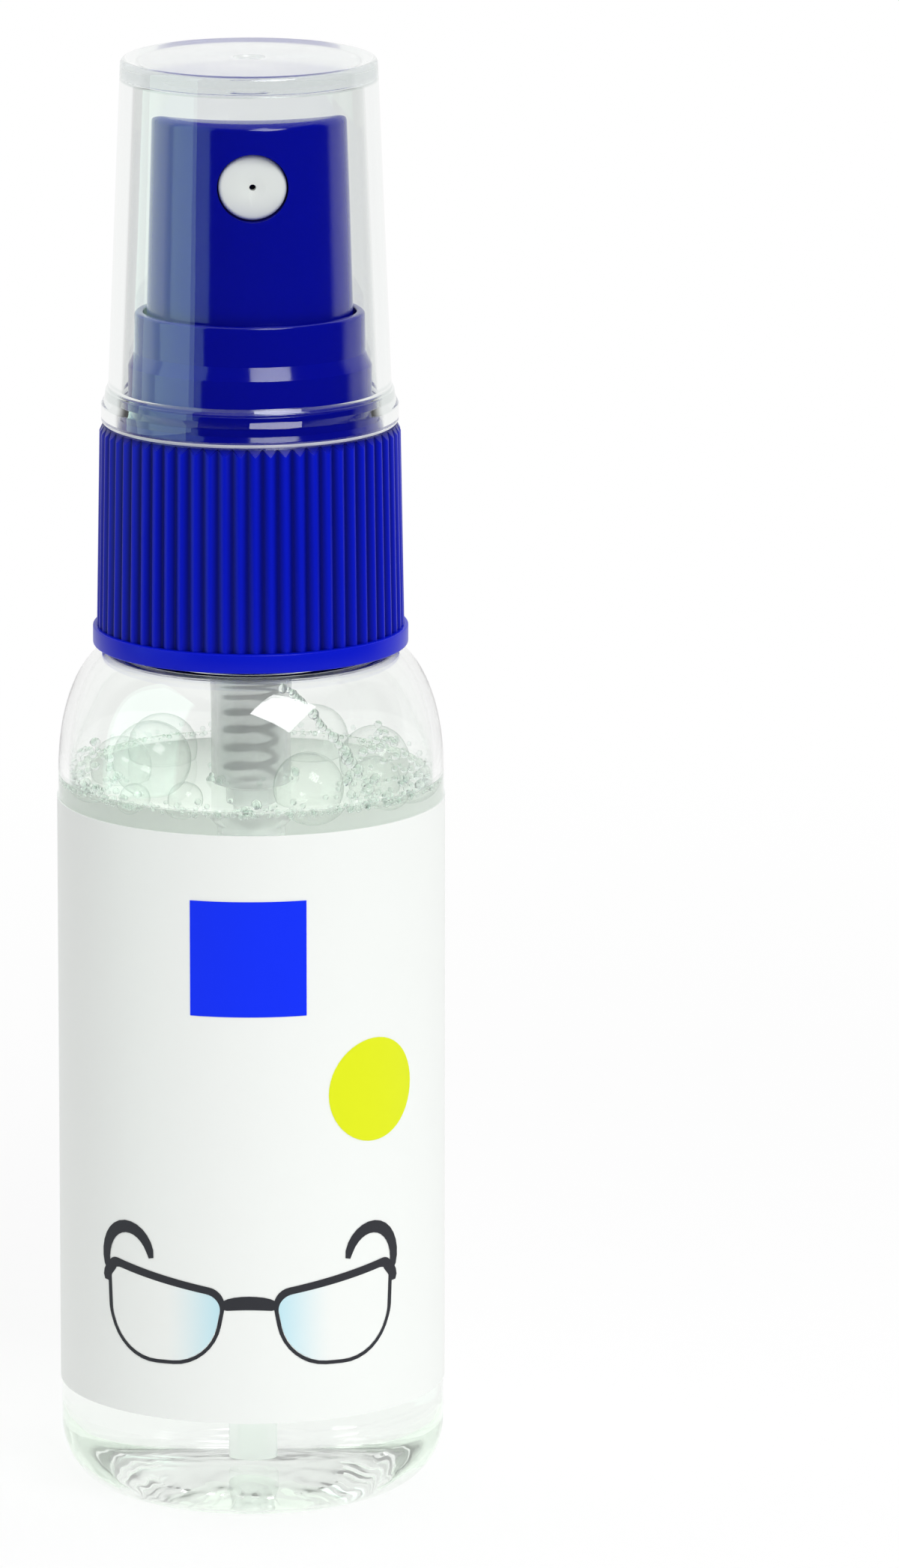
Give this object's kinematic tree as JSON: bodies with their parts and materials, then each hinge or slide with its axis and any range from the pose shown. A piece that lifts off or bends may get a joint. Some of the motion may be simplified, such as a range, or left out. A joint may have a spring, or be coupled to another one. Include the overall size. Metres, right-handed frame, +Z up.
{
  "type": "lens cleaning spray",
  "caption": "Pocket pump spray for spectacle lenses: clear round bottle with wrap label, ribbed screw closure, fine mist pump and clear overcap.",
  "frame": {"origin": "middle of the bottle's foot, on the plane it stands on", "axes": "+Z up along the bottle's axis, -Y to the front of the label and the nozzle, +X to the right seen from the front"},
  "size_m": [0.0292, 0.0292, 0.1092],
  "materials": {
    "clear_pet": "clear, glossy",
    "clear_pp": "clear, glossy",
    "label_film": "satin white film",
    "cleaning_fluid": "clear liquid",
    "blue_pp": "moulded royal blue, semi-gloss",
    "natural_pp": "milky, unpigmented",
    "foam_pe": "white foam sheet",
    "white_pe": "soft white",
    "white_pom": "white, hard",
    "white_pp": "white, satin",
    "natural_pe": "milky tube",
    "spring_steel": "drawn stainless wire",
    "ball_steel": "polished ball"
  },
  "bodies": {
    "root": {"bottle": "clear_pet", "label": "label_film", "cleaning_fluid": "cleaning_fluid"},
    "pump": {"pump_housing": "natural_pp", "gasket": "foam_pe", "retainer_ring": "natural_pp", "dip_tube": "natural_pe", "return_spring": "spring_steel"},
    "screw_closure": {"closure": "blue_pp"},
    "cover": {"overcap": "clear_pp"},
    "plunger": {"piston": "white_pe"},
    "spray_head": {"actuator": "blue_pp", "nozzle_insert": "white_pp", "stem": "white_pom", "valve_core": "white_pom"},
    "check_ball": {"inlet_ball": "ball_steel"}
  },
  "joints": [
    {"name": "pump_lift", "type": "slide", "parent": "root", "child": "pump", "axis": [0, 0, 1], "range_m": [0, 0.00476]},
    {"name": "closure_turn", "type": "hinge", "parent": "pump", "child": "screw_closure", "pos_m": [0, 0, 0.073], "axis": [0, 0, 1], "range_deg": [0, 540]},
    {"name": "overcap_pull", "type": "slide", "parent": "screw_closure", "child": "cover", "axis": [0, 0, 1], "range_m": [0, 0.03]},
    {"name": "actuator_press", "type": "slide", "parent": "pump", "child": "plunger", "axis": [0, 0, -1], "range_m": [0, 0.005], "stiffness_N_per_m": 900, "springref_m": -0.005, "deforming": ["return_spring"]},
    {"name": "actuator_turn", "type": "hinge", "parent": "plunger", "child": "spray_head", "pos_m": [0, 0, 0.09], "axis": [0, 0, 1], "continuous": true},
    {"name": "ball_lift", "type": "slide", "parent": "pump", "child": "check_ball", "axis": [0, 0, 1], "range_m": [0, 0.0005]}
  ],
  "couplings": [
    {"joint": "pump_lift", "follows": "closure_turn", "m_per_rad": 0.00050532}
  ]
}
